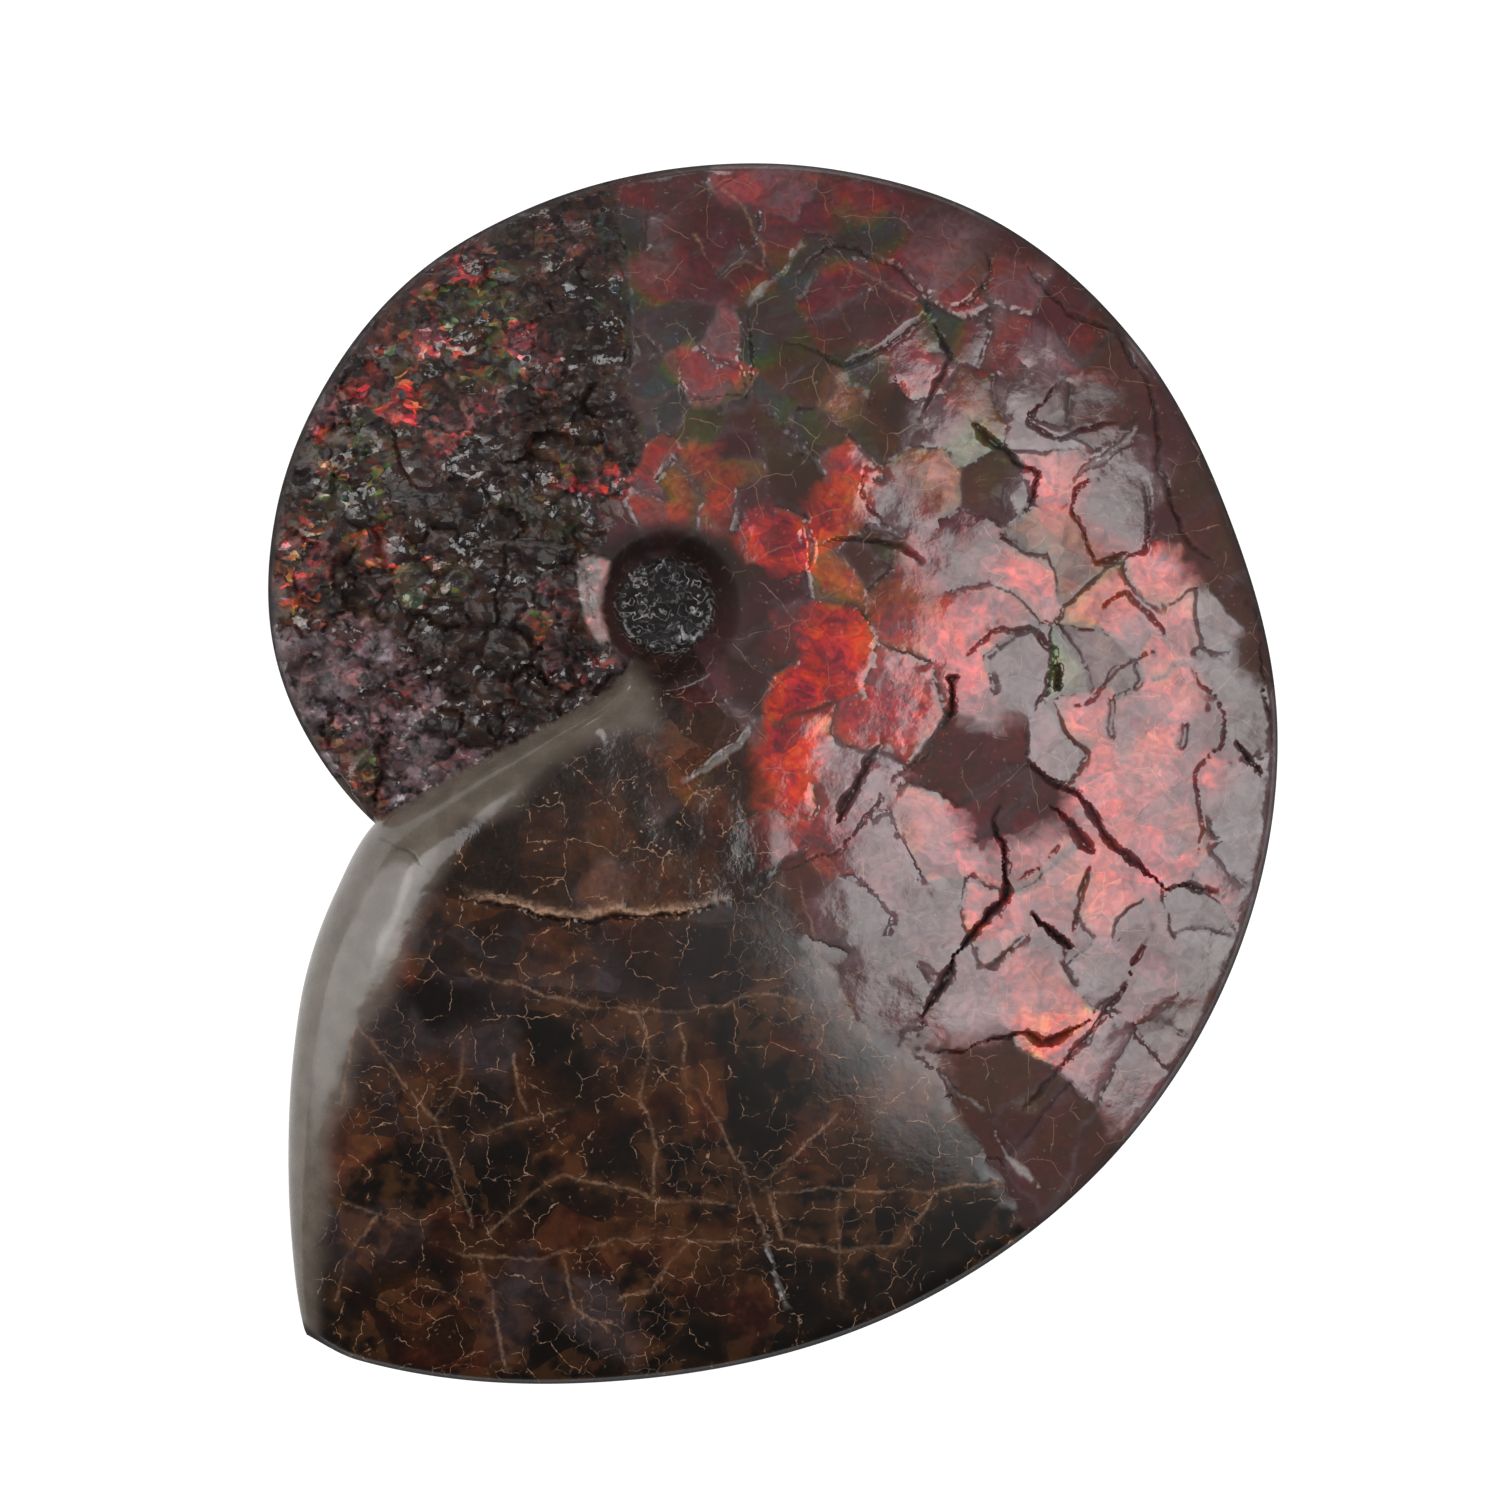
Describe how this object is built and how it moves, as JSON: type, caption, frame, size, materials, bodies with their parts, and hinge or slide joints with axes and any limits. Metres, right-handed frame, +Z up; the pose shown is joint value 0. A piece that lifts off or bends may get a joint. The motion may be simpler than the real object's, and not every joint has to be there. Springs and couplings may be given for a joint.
{
  "type": "fossil ammonite",
  "caption": "Polished fossil ammonite, a flat coiled disc of cracked iridescent shell with a small umbilicus and a rounded stone aperture, lying on its side.",
  "frame": {"origin": "bottom centre of the bounding box, on the ground flat that the ammonite rests on", "axes": "+Z up through the disc, out of the face with the cracked iridescent shell; +Y along the longest extent, away from the aperture; +X to the right as that face is seen from above"},
  "size_m": [0.207, 0.2504, 0.0401],
  "materials": {
    "fossil": "polished, glossy, iridescent red, orange and green in places, with grey-brown stone at the aperture"
  },
  "bodies": {
    "root": {"ammonite": "fossil"}
  },
  "joints": []
}
